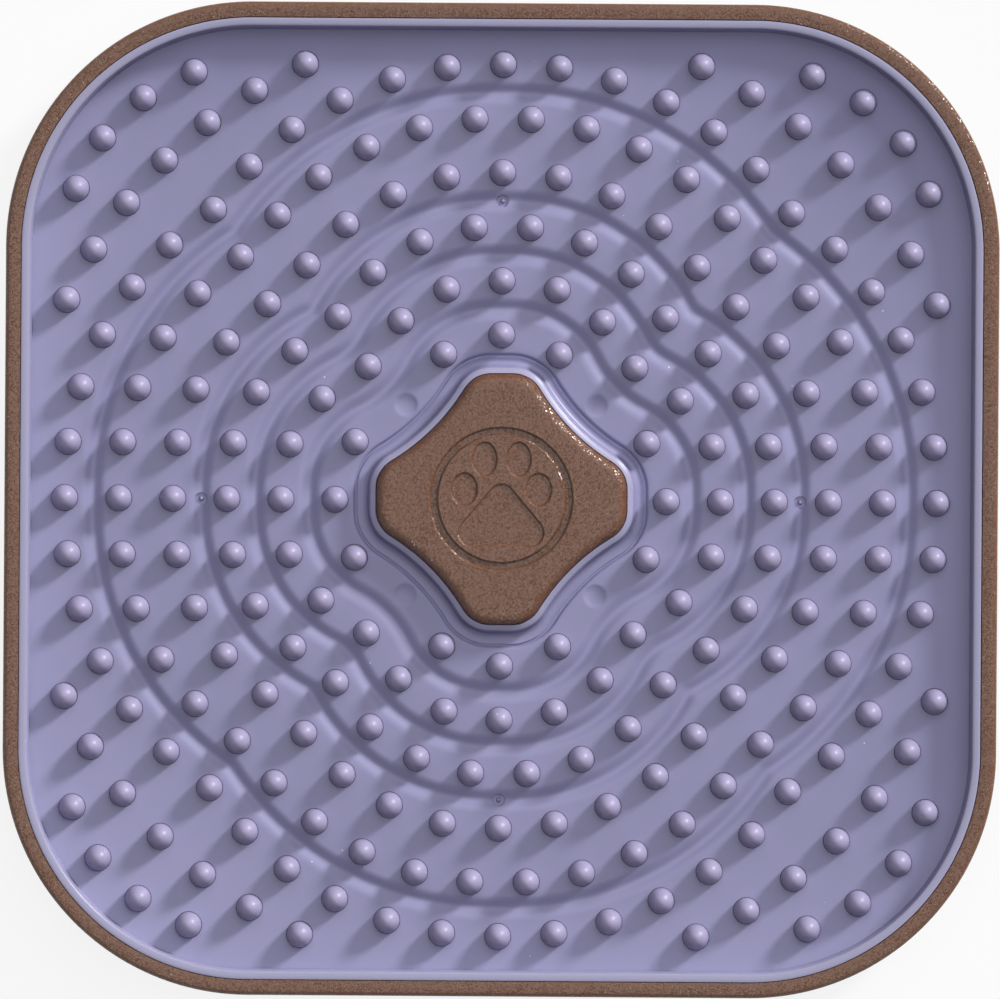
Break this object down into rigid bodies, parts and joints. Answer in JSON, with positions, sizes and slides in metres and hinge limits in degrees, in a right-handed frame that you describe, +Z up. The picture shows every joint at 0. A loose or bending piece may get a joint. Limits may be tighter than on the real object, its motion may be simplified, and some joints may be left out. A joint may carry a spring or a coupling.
{
  "type": "lick mat",
  "caption": "Square pet lick mat with rounded corners: a nubbed, grooved licking plate that lifts out of a brown tray with a star-shaped cap and rubber feet.",
  "frame": {"origin": "middle of the surface the feet stand on", "axes": "+Z up, square to the plate; +Y towards the toes of the paw on the cap; +X to the right of the paw seen from above"},
  "size_m": [0.2, 0.2, 0.012],
  "materials": {
    "tray_plastic": "fine-grained matte brown plastic with a faint sparkle",
    "plate_plastic": "smooth satin lavender plastic",
    "cap_plastic": "fine-grained matte brown plastic with a faint sparkle",
    "foot_rubber": "matte dark rubber"
  },
  "bodies": {
    "tray": {"base_tray": "tray_plastic", "star_cap": "cap_plastic", "foot_front_left": "foot_rubber", "foot_front_right": "foot_rubber", "foot_back_left": "foot_rubber", "foot_back_right": "foot_rubber"},
    "plate": {"lick_plate": "plate_plastic"}
  },
  "joints": [
    {"name": "plate_lift", "type": "slide", "parent": "tray", "child": "plate", "axis": [0, 0, 1], "range_m": [0, 0.03]}
  ]
}
